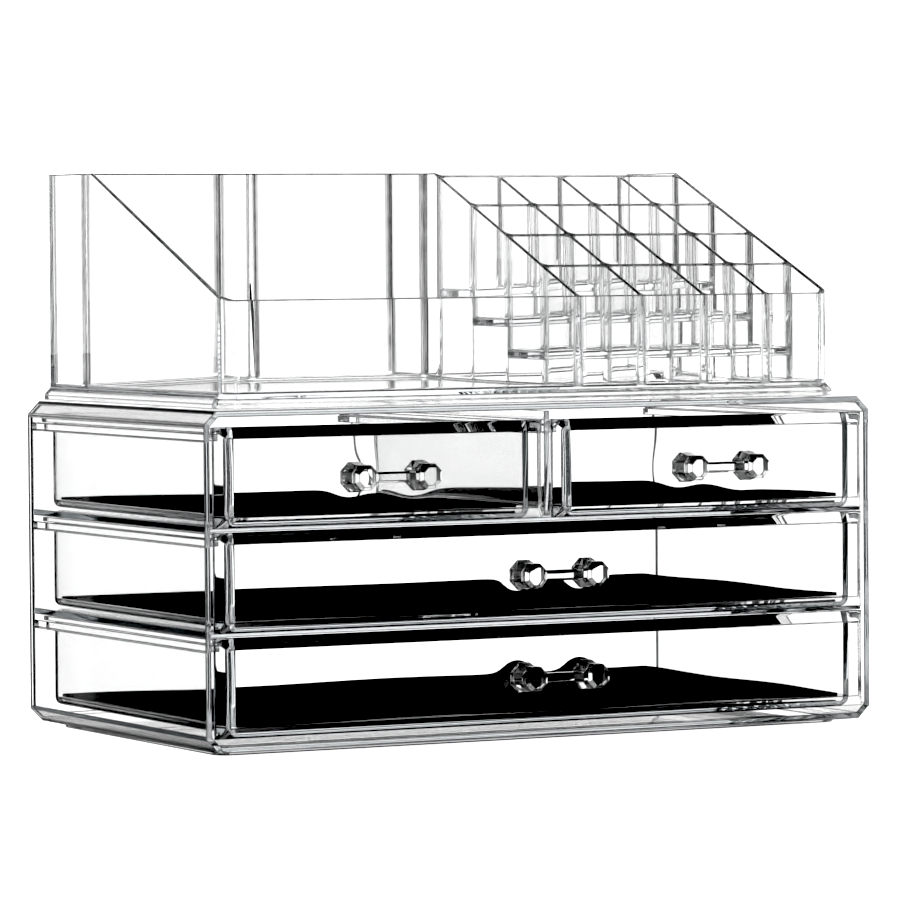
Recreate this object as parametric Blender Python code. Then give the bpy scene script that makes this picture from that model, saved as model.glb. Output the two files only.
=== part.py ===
"""Clear acrylic makeup organizer: a cabinet with four drawers and a loose compartment tray on top.

Metres, +Z up, front towards -Y. The origin is on the table, in the middle of the whole object's box.
"""
import math
import bmesh
import bpy

# Cabinet casing: a flat sleeve with 45 degree corners, standing on a low rim
casing_width = 0.2380
casing_depth = 0.1360
casing_height = 0.1063
casing_wall = 0.0020
casing_chamfer = 0.0042
foot_height = 0.0015
foot_inset = 0.0075
foot_width = 0.0030
foot_inner_corner = 0.0010
back_panel_thickness = 0.0020

# Gaps: bonded faces, running clearance of the drawers, and one overrun for every cut
bond_gap = 0.0003
running_gap = 0.0003
front_gap = 0.0011
divider_gap = 0.0008
row_gap = 0.00125
cut_overrun = 0.0020

# Facets of a quarter round, and the angle up to which an edge counts as round
corner_steps = 4
round_angle = math.radians(30)

# Drawer fronts: thick panels that stand proud of the casing by their bevel, in rows that share its height
front_thickness = 0.0048
front_bevel = 0.0034
lowest_front = 0.0023
top_gap = 0.0030
row_count = 3

# Inner plates of the cabinet
shelf_thickness = 0.0020
shelf_rise = 0.0008
divider_thickness = 0.0020

# Runner ribs on the walls and the flanges that slide on them
rib_thickness = 0.0022
rib_width = 0.0047
flange_thickness = 0.0015
flange_width = 0.0049
flange_drop = 0.0003
flange_setback = 0.0030
flange_corner = 0.0020

# Drawer boxes: the floor rounds up into the walls, and the back corners round too
box_wall = 0.0020
box_floor = 0.0020
box_side_inset = 0.0050
box_floor_gap = 0.0004
box_inner_round = 0.0005
box_inner_corner = 0.0010
box_back_gap = 0.0005

# Liners: soft black pads on the drawer floors
liner_thickness = 0.0012
liner_margin = 0.0010
liner_corner = 0.0030
liner_edge = 0.0004

# Handles: two eight-sided posts and a bar between them
post_spacing = 0.0222
post_flats = 0.0078
post_length = 0.0099
post_bevel = 0.0011
post_sides = 8
collar_flats = 0.0086
collar_length = 0.0010
collar_sides = 24
bar_height = 0.0034
bar_bevel = 0.0010
bar_setback = 0.0010
handle_drop = 0.0007

# Tray on top: a moulded shell with a flared skirt, sloping sides and a low front
tray_width = 0.2178
tray_front_setback = 0.0021
tray_offset = -0.0021
tray_wall = 0.0018
tray_corner = 0.0044
tray_flare = 0.0021
tray_rim_height = 0.0019
tray_floor_rise = 0.0024
tray_floor = 0.0020
tray_fillet = 0.0012
tray_height = 0.07345
tray_front_height = 0.0334
tray_flat_depth = 0.0345

# Plates inside the tray
plate_thickness = 0.0016
rear_divider_depth = 0.0264
rear_partition_x = -0.0500

# Lipstick rack: a grid of square cells on a staircase of floors
rack_columns = 4
rack_rows = 4
cell_width = 0.0214
rack_back_depth = 0.0355
step_height = 0.0100

# Drawer order and shares
small_drawers = ("left", "right")
wide_rows = ("middle", "lower")

# Sizes that follow from the ones above
half_width = casing_width / 2
half_depth = casing_depth / 2
inner_half_width = half_width - casing_wall
inner_chamfer = casing_chamfer - casing_wall * (2 - math.sqrt(2))
inner_bottom = foot_height + casing_wall
inner_top = casing_height - casing_wall
front_space = inner_top - top_gap - inner_bottom - lowest_front
front_height = (front_space - (row_count - 1) * row_gap) / row_count
row_pitch = front_height + row_gap
front_half_width = inner_half_width - front_gap
front_face_y = -half_depth - front_bevel
front_back_y = front_face_y + front_thickness
interior_front_y = front_back_y + bond_gap
interior_back_y = half_depth - back_panel_thickness - bond_gap
box_half_width = front_half_width - box_side_inset
box_back_y = interior_back_y - box_back_gap
flange_back_y = box_back_y - flange_setback

tray_bottom = casing_height + bond_gap
tray_floor_top = tray_bottom + tray_floor_rise + tray_floor
tray_top = tray_bottom + tray_height
tray_front_top = tray_bottom + tray_front_height
tray_left = tray_offset - tray_width / 2
tray_right = tray_offset + tray_width / 2
tray_front_y = -half_depth + tray_front_setback
tray_back_y = half_depth
inner_left = tray_left + tray_wall
inner_right = tray_right - tray_wall
inner_front_y = tray_front_y + tray_wall
inner_back_y = tray_back_y - tray_wall
slope_start_y = tray_back_y - tray_flat_depth
slope_end_y = inner_front_y
plate_bottom = tray_floor_top + bond_gap

rack_width = rack_columns * cell_width + (rack_columns - 1) * plate_thickness
rack_back_y = inner_back_y - rack_back_depth
rack_wall_x = inner_right - rack_width - plate_thickness / 2
cell_depth = (rack_back_y - inner_front_y - (rack_rows - 1) * plate_thickness) / rack_rows

# The handles stand out at the front, so the whole object is set back by half their reach
object_shift_y = (front_bevel + bond_gap + post_length) / 2

clear_colour = (0.93, 0.96, 0.97, 1.0)
clear_roughness = 0.03
black_colour = (0.012, 0.012, 0.014, 1.0)
black_roughness = 0.9


def clear_scene():
    """Remove what the scene holds."""
    for item in list(bpy.data.objects):
        bpy.data.objects.remove(item, do_unlink=True)


def material_for(name, black=False):
    """A plain Principled material of the piece's own."""
    material = bpy.data.materials.new(name)
    material.use_nodes = True
    shader = material.node_tree.nodes["Principled BSDF"]
    shader.inputs["Base Color"].default_value = black_colour if black else clear_colour
    shader.inputs["Roughness"].default_value = black_roughness if black else clear_roughness
    shader.inputs["Metallic"].default_value = 0
    return material


def object_from(name, build):
    """Turn a bmesh into an object whose faces point outwards."""
    bmesh.ops.recalc_face_normals(build, faces=build.faces)
    mesh = bpy.data.meshes.new(name)
    build.to_mesh(mesh)
    build.free()
    item = bpy.data.objects.new(name, mesh)
    bpy.context.collection.objects.link(item)
    return item


def loft(name, rings):
    """A closed solid through rings of points, each ring a list of (x, y, z)."""
    build = bmesh.new()
    loops = [[build.verts.new(point) for point in ring] for ring in rings]
    build.faces.new(loops[0])
    build.faces.new(loops[-1])
    for low, high in zip(loops, loops[1:]):
        count = len(low)
        for index in range(count):
            following = (index + 1) % count
            build.faces.new((low[index], low[following], high[following], high[index]))
    return object_from(name, build)


def plan_ring(outline, z):
    """A level ring from a plan."""
    return [(x, y, z) for x, y in outline]


def along_y(name, outline, start, end):
    """Extrude an (x, z) outline along Y."""
    return loft(name, [[(x, y, z) for x, z in outline] for y in (start, end)])


def along_x(name, outline, start, end):
    """Extrude a (y, z) outline along X."""
    return loft(name, [[(x, y, z) for y, z in outline] for x in (start, end)])


def along_z(name, outline, start, end):
    """Extrude an (x, y) outline along Z."""
    return loft(name, [[(x, y, z) for x, y in outline] for z in (start, end)])


def cut_rectangle(low_u, high_u, low_v, high_v, corners):
    """A rectangle with cut corners, their sizes given from the low corner round."""
    first, second, third, fourth = corners
    points = [(low_u + first, low_v), (high_u - second, low_v), (high_u, low_v + second),
              (high_u, high_v - third), (high_u - third, high_v), (low_u + fourth, high_v),
              (low_u, high_v - fourth), (low_u, low_v + first)]
    kept = []
    for point in points:
        if not kept or math.dist(point, kept[-1]) > 0:
            kept.append(point)
    if math.dist(kept[0], kept[-1]) == 0:
        kept.pop()
    return kept


def rectangle(low_u, high_u, low_v, high_v):
    """A plain rectangle."""
    return [(low_u, low_v), (high_u, low_v), (high_u, high_v), (low_u, high_v)]


def rounded_rectangle(low_u, high_u, low_v, high_v, radii):
    """A rectangle with rounded corners, their radii given from the low corner round."""
    places = ((low_u, low_v, 1, 1), (high_u, low_v, -1, 1),
              (high_u, high_v, -1, -1), (low_u, high_v, 1, -1))
    points = []
    for index, (u, v, side_u, side_v) in enumerate(places):
        radius = radii[index]
        if radius <= 0:
            points.append((u, v))
            continue
        for step in range(corner_steps + 1):
            turn = math.pi + (index + step / corner_steps) * math.pi / 2
            points.append((u + side_u * radius + radius * math.cos(turn),
                           v + side_v * radius + radius * math.sin(turn)))
    return points


def fillet_steps(radius):
    """Inset and rise of each step of a quarter round that leads from a floor into a wall."""
    turns = [step / corner_steps * math.pi / 2 for step in range(corner_steps + 1)]
    return [(radius * (1 - math.sin(turn)), radius * (1 - math.cos(turn))) for turn in turns]


def regular_outline(centre_u, centre_v, flats, sides):
    """A regular outline by its width across flats, standing on a flat."""
    radius = flats / 2 / math.cos(math.pi / sides)
    turn = math.pi / sides
    return [(centre_u + radius * math.cos(turn + 2 * turn * index),
             centre_v + radius * math.sin(turn + 2 * turn * index)) for index in range(sides)]


def combine(target, tool, operation):
    """Join or cut a tool with an exact Boolean and remove the tool."""
    modifier = target.modifiers.new(operation.lower(), "BOOLEAN")
    modifier.operation = operation
    modifier.solver = "EXACT"
    modifier.object = tool
    graph = bpy.context.evaluated_depsgraph_get()
    mesh = bpy.data.meshes.new_from_object(target.evaluated_get(graph))
    target.modifiers.clear()
    target.data = mesh
    bpy.data.objects.remove(tool, do_unlink=True)
    return target


def finish(item, parent, black=False):
    """Name the mesh, give the material and hang the piece on its body's empty."""
    item.data.name = item.name
    item.data.shade_smooth()
    item.data.set_sharp_from_angle(angle=round_angle)
    item.data.materials.clear()
    item.data.materials.append(material_for(item.name, black))
    item.parent = parent
    item.matrix_parent_inverse = parent.matrix_world.inverted()
    return item


def body_empty(name, place):
    """An empty that carries one rigid body."""
    empty = bpy.data.objects.new(name, None)
    empty.location = place
    bpy.context.collection.objects.link(empty)
    bpy.context.view_layer.update()
    return empty


def front_bottom(row):
    """Height of a row's front above the table; row 0 is the lowest."""
    return inner_bottom + lowest_front + row * row_pitch


def rib_top(row):
    """Height of the rib that carries a row's flanges."""
    return front_bottom(row) + front_height - flange_drop - flange_thickness - running_gap


def shelf_top(row):
    """Top of the plate under a row."""
    return front_bottom(row) + shelf_rise


def box_bottom(row):
    """Underside of a row's drawer box."""
    return front_bottom(row) + shelf_rise + box_floor_gap


def casing_outline(inset, chamfer):
    """The casing's eight-sided section, inset from its outer face."""
    return cut_rectangle(-half_width + inset, half_width - inset, foot_height + inset,
                         casing_height - inset, (chamfer,) * 4)


def make_casing(parent):
    """The sleeve with its foot rim below and its runner ribs inside."""
    casing = along_y("casing", casing_outline(0, casing_chamfer), -half_depth, half_depth)
    hollow = along_y("hollow", casing_outline(casing_wall, inner_chamfer),
                     -half_depth - cut_overrun, half_depth + cut_overrun)
    combine(casing, hollow, "DIFFERENCE")
    sides = (half_width - foot_inset, half_depth - foot_inset)
    foot_corner = foot_inner_corner + foot_width
    rim = along_z("rim", rounded_rectangle(-sides[0], sides[0], -sides[1], sides[1], (foot_corner,) * 4),
                  0, foot_height + casing_wall / 2)
    inner = (sides[0] - foot_width, sides[1] - foot_width)
    core = along_z("core", rounded_rectangle(-inner[0], inner[0], -inner[1], inner[1],
                                             (foot_inner_corner,) * 4),
                   -cut_overrun, foot_height + casing_wall)
    combine(casing, combine(rim, core, "DIFFERENCE"), "UNION")
    for row in range(row_count):
        top = rib_top(row)
        for side in (-1, 1):
            ends = sorted((side * (inner_half_width + casing_wall / 2),
                           side * (inner_half_width - rib_width)))
            rib = along_y("rib", rectangle(*ends, top - rib_thickness, top),
                          interior_front_y + running_gap, interior_back_y)
            combine(casing, rib, "UNION")
    return finish(casing, parent)


def make_back_panel(parent):
    """The plate that closes the sleeve behind the drawers."""
    outline = casing_outline(casing_wall + bond_gap, inner_chamfer - bond_gap * (2 - math.sqrt(2)))
    panel = along_y("back_panel", outline, half_depth - back_panel_thickness, half_depth)
    return finish(panel, parent)


def make_shelf(name, row, parent):
    """The plate between two rows of drawers."""
    top = shelf_top(row)
    half = inner_half_width - bond_gap
    outline = rectangle(-half, half, top - shelf_thickness, top)
    return finish(along_y(name, outline, interior_front_y, interior_back_y), parent)


def make_divider(parent):
    """The upright between the two small drawers, with a rib on each side."""
    row = row_count - 1
    low = shelf_top(row) + bond_gap
    high = inner_top - bond_gap
    half = divider_thickness / 2
    top = rib_top(row)
    rib = half + rib_width
    upright = along_y("centre_divider", rectangle(-half, half, low, high), -half_depth, interior_back_y)
    ribs = along_y("ribs", rectangle(-rib, rib, top - rib_thickness, top),
                   interior_front_y + running_gap, interior_back_y)
    return finish(combine(upright, ribs, "UNION"), parent)


def box_form(name, sides, front, back, heights, round_radius, corner_radius):
    """A block whose floor edge and back corners are round and whose front end is square."""
    rings = []
    for inset, rise in fillet_steps(round_radius):
        corner = corner_radius - inset
        outline = rounded_rectangle(sides[0] + inset, sides[1] - inset, front, back - inset,
                                    (0, 0, corner, corner))
        rings.append(plan_ring(outline, heights[0] + rise))
    rings.append(plan_ring(outline, heights[1]))
    return loft(name, rings)


def make_box(name, left, right, row, parent):
    """An open drawer box with a flange along each side, which stops short of its round back corners."""
    bottom = box_bottom(row)
    top = front_bottom(row) + front_height - flange_drop
    box = box_form(name, (left, right), interior_front_y, box_back_y, (bottom, top),
                   box_inner_round + box_wall, box_inner_corner + box_wall)
    hollow = box_form("hollow", (left + box_wall, right - box_wall), interior_front_y - cut_overrun,
                      box_back_y - box_wall, (bottom + box_floor, top + cut_overrun),
                      box_inner_round, box_inner_corner)
    for side, face, radii in ((-1, left, (0, 0, 0, flange_corner)), (1, right, (0, 0, flange_corner, 0))):
        ends = sorted((face - side * box_wall / 2, face + side * flange_width))
        plan = rounded_rectangle(*ends, interior_front_y + running_gap, flange_back_y, radii)
        combine(box, along_z("flange", plan, top - flange_thickness, top), "UNION")
    return finish(combine(box, hollow, "DIFFERENCE"), parent)


def make_front(name, left, right, row, parent):
    """A thick panel whose four front edges are bevelled."""
    low = front_bottom(row)
    high = low + front_height
    rings = []
    for y, inset in ((front_face_y, front_bevel), (front_face_y + front_bevel, 0), (front_back_y, 0)):
        outline = rectangle(left + inset, right - inset, low + inset, high - inset)
        rings.append([(x, y, z) for x, z in outline])
    return finish(loft(name, rings), parent)


def make_handle(name, centre_x, row, parent):
    """Two bevelled eight-sided posts on round collars, joined by a bevelled bar."""
    centre_z = front_bottom(row) + front_height / 2 - handle_drop
    base_y = front_face_y - bond_gap
    end_y = base_y - post_length
    handle = None
    for side in (-1, 1):
        post_x = centre_x + side * post_spacing / 2
        rings = []
        for y, flats in ((base_y - collar_length / 2, post_flats), (end_y + post_bevel, post_flats),
                         (end_y, post_flats - 2 * post_bevel)):
            rings.append([(x, y, z) for x, z in regular_outline(post_x, centre_z, flats, post_sides)])
        post = loft(name, rings)
        collar = along_y("collar", regular_outline(post_x, centre_z, collar_flats, collar_sides),
                         base_y - collar_length, base_y)
        combine(post, collar, "UNION")
        handle = post if handle is None else combine(handle, post, "UNION")
    half_bar = post_spacing / 2 - post_flats / 4
    bar_front = end_y + bar_setback
    half_height = bar_height / 2
    section = cut_rectangle(bar_front, bar_front + bar_height, centre_z - half_height,
                            centre_z + half_height, (bar_bevel,) * 4)
    bar = along_x("bar", section, centre_x - half_bar, centre_x + half_bar)
    combine(handle, bar, "UNION")
    handle.name = name
    return finish(handle, parent)


def make_liner(name, left, right, row, parent):
    """A soft pad that covers the drawer floor, with eased edges."""
    low = box_bottom(row) + box_floor + bond_gap
    front = interior_front_y + liner_margin
    back = box_back_y - box_wall - liner_margin
    sides = (left + box_wall + liner_margin, right - box_wall - liner_margin)
    top = low + liner_thickness
    rings = []
    for z, inset in ((low, 0), (top - liner_edge, 0), (top, liner_edge)):
        outline = rounded_rectangle(sides[0] + inset, sides[1] - inset, front + inset, back - inset,
                                    (liner_corner - inset,) * 4)
        rings.append(plan_ring(outline, z))
    return finish(loft(name, rings), parent, black=True)


def make_drawer(name, left, right, row):
    """One drawer: box, front, handle and liner on one sliding body."""
    centre_x = (left + right) / 2
    body = body_empty(name + "_body", (centre_x, -half_depth, front_bottom(row)))
    box_left = left + box_side_inset
    box_right = right - box_side_inset
    make_box(name + "_box", box_left, box_right, row, body)
    make_front(name + "_front", left, right, row, body)
    make_handle(name + "_handle", centre_x, row, body)
    make_liner(name + "_liner", box_left, box_right, row, body)
    return body


def tray_outline(offset, back_offset=0.0):
    """The tray's plan, its front and sides moved out by offset and its back by back_offset."""
    corner = tray_corner + offset * (2 - math.sqrt(2))
    return cut_rectangle(tray_left - offset, tray_right + offset, tray_front_y - offset,
                         tray_back_y + back_offset, (corner, corner, 0, 0))


def slope_height(y):
    """Height of the sloping top edge at a depth."""
    share = (slope_start_y - y) / (slope_start_y - slope_end_y)
    return tray_top - share * (tray_top - tray_front_top)


def make_tray_shell(parent):
    """The moulded shell: flared skirt, floor with filleted edges, walls that slope to a low front."""
    flare_low = tray_bottom + tray_rim_height
    rings = [plan_ring(tray_outline(tray_flare), tray_bottom),
             plan_ring(tray_outline(tray_flare), flare_low),
             plan_ring(tray_outline(0), flare_low + tray_flare), plan_ring(tray_outline(0), tray_top)]
    shell = loft("organizer_tray", rings)
    above = tray_top + cut_overrun
    before = tray_front_y - tray_flare - cut_overrun
    wedge = along_x("wedge", [(slope_start_y, tray_top), (slope_end_y, tray_front_top),
                              (before, tray_front_top), (before, above), (slope_start_y, above)],
                    tray_left - tray_flare - cut_overrun, tray_right + tray_flare + cut_overrun)
    combine(shell, wedge, "DIFFERENCE")
    rings = [plan_ring(tray_outline(-tray_wall - inset, -tray_wall - inset), tray_floor_top + rise)
             for inset, rise in fillet_steps(tray_fillet)]
    rings.append(plan_ring(tray_outline(-tray_wall, -tray_wall), above))
    combine(shell, loft("cavity", rings), "DIFFERENCE")
    rim = tray_flare - tray_wall
    under = tray_floor_top - tray_floor
    turn_height = flare_low - tray_wall * math.tan(math.pi / 8)
    recess = loft("recess", [plan_ring(tray_outline(rim, -tray_wall), tray_bottom - cut_overrun),
                             plan_ring(tray_outline(rim, -tray_wall), turn_height),
                             plan_ring(tray_outline(rim + turn_height - under, -tray_wall), under)])
    return finish(combine(shell, recess, "DIFFERENCE"), parent)


def make_rear_plates(parent):
    """The divider across the tray and the partition behind it."""
    divider_front = inner_back_y - rear_divider_depth
    divider_back = divider_front + plate_thickness
    corner = tray_fillet + bond_gap
    right = rack_wall_x - plate_thickness / 2 - bond_gap
    outline = cut_rectangle(inner_left + bond_gap, right, plate_bottom, tray_top, (corner, 0, 0, 0))
    finish(along_y("rear_divider", outline, divider_front, divider_back), parent)
    outline = cut_rectangle(divider_back + bond_gap, inner_back_y - bond_gap, plate_bottom, tray_top,
                            (0, corner, 0, 0))
    half = plate_thickness / 2
    finish(along_x("rear_partition", outline, rear_partition_x - half, rear_partition_x + half), parent)


def cross_faces(row):
    """Front and back face of the cross wall behind a row of cells."""
    front = inner_front_y + (row + 1) * cell_depth + row * plate_thickness
    return front, front + plate_thickness


def step_top(row):
    """Height of a row's floor."""
    return tray_floor_top + row * step_height


def make_rack_steps(parent):
    """Cross walls, raised floors and back wall of the rack, in one comb-shaped section."""
    low = plate_bottom
    upper = []
    under = []
    for row in range(rack_rows - 1):
        front, back = cross_faces(row)
        if row == 0:
            upper.append((front, low))
            under.append((back, low))
        else:
            under.append((back, step_top(row) - plate_thickness))
        top = slope_height((front + back) / 2)
        upper += [(front, top), (back, top), (back, step_top(row + 1))]
        if row < rack_rows - 2:
            upper.append((cross_faces(row + 1)[0], step_top(row + 1)))
        under.append((back, step_top(row + 1) - plate_thickness))
    back_front = rack_back_y
    back_back = back_front + plate_thickness
    top = slope_height((back_front + back_back) / 2)
    upper += [(back_front, step_top(rack_rows - 1)), (back_front, top), (back_back, top), (back_back, low),
              (back_front, low), (back_front, step_top(rack_rows - 1) - plate_thickness)]
    outline = upper + under[::-1]
    corner = tray_fillet + bond_gap
    left = rack_wall_x + plate_thickness / 2 + bond_gap
    right = inner_right - bond_gap
    steps = along_x("lipstick_steps", outline, left, right)
    relief = along_y("relief", [(right + bond_gap, low - cut_overrun), (right + bond_gap, low + corner),
                                (right - corner - cut_overrun, low - cut_overrun)],
                     inner_front_y, rack_back_y + plate_thickness + cut_overrun)
    combine(steps, relief, "DIFFERENCE")
    half = plate_thickness / 2 + bond_gap
    for column in range(1, rack_columns):
        x = rack_wall_x + column * (cell_width + plate_thickness)
        for row in range(rack_rows - 1):
            front, back = cross_faces(row)
            notch = along_x("notch", rectangle(front - cut_overrun, back + cut_overrun, step_top(row + 1),
                                               slope_height(front) + cut_overrun), x - half, x + half)
            combine(steps, notch, "DIFFERENCE")
    return finish(steps, parent)


def make_rack_walls(parent):
    """Sloping walls of the rack; the first also closes the rear compartments."""
    half = plate_thickness / 2
    front = inner_front_y + bond_gap
    corner = tray_fillet + bond_gap
    for column in range(rack_columns):
        x = rack_wall_x + column * (cell_width + plate_thickness)
        if column == 0:
            back = inner_back_y - bond_gap
            lower = [(back, plate_bottom + corner), (back - corner, plate_bottom)]
        else:
            back = rack_back_y - bond_gap
            lower = [(back, step_top(rack_rows - 1) + bond_gap)]
            for row in range(rack_rows - 2, -1, -1):
                face = cross_faces(row)[0] - bond_gap
                lower += [(face, step_top(row + 1) + bond_gap), (face, step_top(row) + bond_gap)]
        lower += [(front + corner, plate_bottom), (front, plate_bottom + corner)]
        bend = min(slope_start_y, back)
        upper = [(front, slope_height(front)), (bend, slope_height(bend))]
        if back > slope_start_y:
            upper.append((back, tray_top))
        outline = lower + upper
        finish(along_x("lipstick_wall_%d" % (column + 1), outline, x - half, x + half), parent)


def make_cabinet():
    """Everything that stays on the table when the drawers slide."""
    body = body_empty("cabinet_body", (0, 0, 0))
    make_casing(body)
    make_back_panel(body)
    make_shelf("upper_shelf", 2, body)
    make_shelf("lower_shelf", 1, body)
    make_divider(body)
    return body


def make_drawers():
    """Two small drawers side by side above two wide ones."""
    middle = divider_thickness / 2 + divider_gap
    top_row = row_count - 1
    bodies = [make_drawer("small_left", -front_half_width, -middle, top_row),
              make_drawer("small_right", middle, front_half_width, top_row)]
    for step, name in enumerate(wide_rows):
        bodies.append(make_drawer(name, -front_half_width, front_half_width, top_row - 1 - step))
    return bodies


def make_tray():
    """The loose unit on top."""
    body = body_empty("tray_body", (tray_offset, 0, tray_bottom))
    make_tray_shell(body)
    make_rear_plates(body)
    make_rack_steps(body)
    make_rack_walls(body)
    return body


def main():
    """Build the organizer."""
    clear_scene()
    bodies = [make_cabinet()] + make_drawers() + [make_tray()]
    for body in bodies:
        body.location.y += object_shift_y


main()
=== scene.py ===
# %% [markdown]
# # A clear acrylic makeup organizer
# The real object is a cabinet of clear acrylic with four drawers and a moulded tray on its lid. The frame
# brings its true solids, each at its place. This lesson builds a finer surface over every solid, gives it
# the finish of real plastic with shade painted along its edges, and sets up the studio. Clear plastic has no
# colour of its own: what the eye sees are its edges.

# %% Load the frame
import bmesh
import bpy
import math
import numpy as np
from mathutils import Matrix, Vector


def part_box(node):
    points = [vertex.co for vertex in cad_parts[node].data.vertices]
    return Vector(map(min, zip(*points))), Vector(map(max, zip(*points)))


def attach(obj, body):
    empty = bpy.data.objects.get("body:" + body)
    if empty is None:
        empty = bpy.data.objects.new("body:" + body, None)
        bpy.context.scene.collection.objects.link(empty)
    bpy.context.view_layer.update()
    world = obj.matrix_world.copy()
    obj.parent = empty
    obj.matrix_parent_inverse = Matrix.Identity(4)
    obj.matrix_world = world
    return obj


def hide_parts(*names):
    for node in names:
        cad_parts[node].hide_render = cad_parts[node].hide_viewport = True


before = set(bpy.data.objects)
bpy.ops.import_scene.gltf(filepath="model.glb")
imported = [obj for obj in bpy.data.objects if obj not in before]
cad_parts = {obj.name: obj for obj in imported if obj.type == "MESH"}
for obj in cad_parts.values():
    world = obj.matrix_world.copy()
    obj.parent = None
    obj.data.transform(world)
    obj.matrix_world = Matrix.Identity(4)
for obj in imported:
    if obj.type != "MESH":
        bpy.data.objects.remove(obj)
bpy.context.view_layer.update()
MM = 0.001

# %% [markdown]
# ## Building with nodes
# Materials and light are small networks of nodes. A few helpers keep each network as short as a recipe.

# %% Node helpers
def fill(tree, node, inputs):
    """Gives a node its inputs: numbers are set, and outputs of other nodes are wired in."""
    for name, value in inputs.items():
        if isinstance(value, bpy.types.NodeSocket):
            tree.links.new(value, node.inputs[name])
        else:
            node.inputs[name].default_value = value
    return node


def add(tree, kind, inputs=None, **settings):
    """Adds a node with its settings and its inputs."""
    node = tree.nodes.new("ShaderNode" + kind)
    for name, value in settings.items():
        setattr(node, name, value)
    return fill(tree, node, inputs or {})


def mixed(tree, factor, first, second, mode="MIX"):
    """The colour between two: first * (1 - factor) + second * factor, or their product for MULTIPLY."""
    return add(tree, "Mix", {0: factor, 6: first, 7: second}, data_type="RGBA", blend_type=mode).outputs[2]


def sum_up(tree, operation, first, second=0.0, clamp=False):
    """The result of one arithmetic step, such as ADD or MULTIPLY."""
    return add(tree, "Math", {0: first, 1: second}, operation=operation, use_clamp=clamp).outputs[0]


def scaled(tree, value, low, high, to_low=0.0, to_high=1.0):
    """A value carried from one range to another, and held inside it."""
    return add(tree, "MapRange", {"Value": value, "From Min": low, "From Max": high,
                                  "To Min": to_low, "To Max": to_high}).outputs[0]


def noise(tree, place, scale, detail, distortion=0.0):
    """A soft random pattern: its blots lie about 1 / scale apart."""
    inputs = {"Vector": place, "Scale": scale, "Detail": detail, "Distortion": distortion}
    return add(tree, "TexNoise", inputs).outputs[0]


def grey(value):
    """A neutral colour."""
    return (value, value, value, 1.0)


print("a middle grey is", grey(0.5))

# %% Node groups
def node_group(name, inputs, outputs):
    """An empty group with named sockets, what its user gives, and its output node."""
    group = bpy.data.node_groups.new(name, "ShaderNodeTree")
    for label, kind, value in inputs:
        socket = group.interface.new_socket(label, in_out="INPUT", socket_type="NodeSocket" + kind)
        socket.default_value = value
    for label, kind in outputs:
        group.interface.new_socket(label, in_out="OUTPUT", socket_type="NodeSocket" + kind)
    return group, group.nodes.new("NodeGroupInput").outputs, group.nodes.new("NodeGroupOutput")


def placed(tree, group, inputs):
    """Puts a group into a material with the material's own values."""
    return fill(tree, add(tree, "Group", node_tree=group), inputs).outputs


def new_material(name):
    """A material with its tree, its main shader and its object coordinates."""
    material = bpy.data.materials.new(name)
    material.use_nodes = True
    tree = material.node_tree
    return material, tree, tree.nodes["Principled BSDF"], add(tree, "TexCoord").outputs["Object"]


print("node groups so far:", len(bpy.data.node_groups))

# %% [markdown]
# ## The waviness of moulded plastic
# Polished acrylic is never quite flat. A cast sheet wanders by a few thousandths of a millimetre, and a
# moulding by about a hundredth, where it shrank as it cooled. It can't be seen as such, but the lines behind
# it bend a little. A displaced mesh could carry it, yet a slow noise as a bump costs no faces and bends the
# light in the same way.

# %% Moulding ripple
ripple, given, result = node_group(
    "moulding_ripple",
    [("Place", "Vector", (0, 0, 0)), ("Wave length", "Float", 20 * MM), ("Depth", "Float", 0.01 * MM)],
    [("Height", "Float")])
waves = sum_up(ripple, "DIVIDE", 1.0, given["Wave length"])
cloud = noise(ripple, given["Place"], waves, 1.0)
fill(ripple, result, {"Height": sum_up(ripple, "MULTIPLY", cloud, given["Depth"])})
print("ripple:", len(ripple.nodes), "nodes")

# %% [markdown]
# ## The painted grey line of an edge
# A sawn and flame-polished edge is a tiny rounding. It throws the light sideways, so it reads as a thin
# grey line. Here that line is painted shade: each mesh marks such faces in an attribute called edge, 0 on a
# clear face, 1 on a rolled edge, something between on a sawn end, and the colour is darkened there, while
# the edge's own roughness rises with it. A mask from pointiness would need no attribute, but it blurs, and
# here the line has to be crisp.

# %% Painted edge shade
painted_patch_size = 6 * MM
painted_edge_shade, given, result = node_group(
    "painted_edge_shade",
    [("Place", "Vector", (0, 0, 0)), ("Edge", "Float", 0.0), ("Line tone", "Color", grey(0.1)),
     ("Line roughness", "Float", 0.2)],
    [("Color", "Color"), ("Roughness", "Float")])
# The painted shade line comes and goes in soft patches.
painted_line_patches = noise(painted_edge_shade, given["Place"], 1 / painted_patch_size, 2.0)
unevenness = scaled(painted_edge_shade, painted_line_patches, 0.3, 0.7, 0.88, 1.0)
amount = sum_up(painted_edge_shade, "MULTIPLY", given["Edge"], unevenness)
fill(painted_edge_shade, result, {"Color": mixed(painted_edge_shade, amount, grey(1.0), given["Line tone"]),
                         "Roughness": sum_up(painted_edge_shade, "MULTIPLY", amount, given["Line roughness"])})
print("edge line:", len(painted_edge_shade.nodes), "nodes")

# %% [markdown]
# ## Three kinds of clear acrylic
# All share one recipe: a shader that lets light through, bends it by 1.49, and a trace of grey in the depth
# of the plastic, so that a long way through a plate darkens. They differ in ripple, in how dark the shade
# painted along their edges is and in how rough those edges are, as the edges were finished differently.
# Sheet is sawn and polished, drawers and tray are moulded, and the fronts and handles are cut with facets.

# %% Clear acrylic
acrylic_bend, depth_tint, depth_density = 1.49, (0.75, 0.8, 0.82, 1), 5.0


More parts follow.
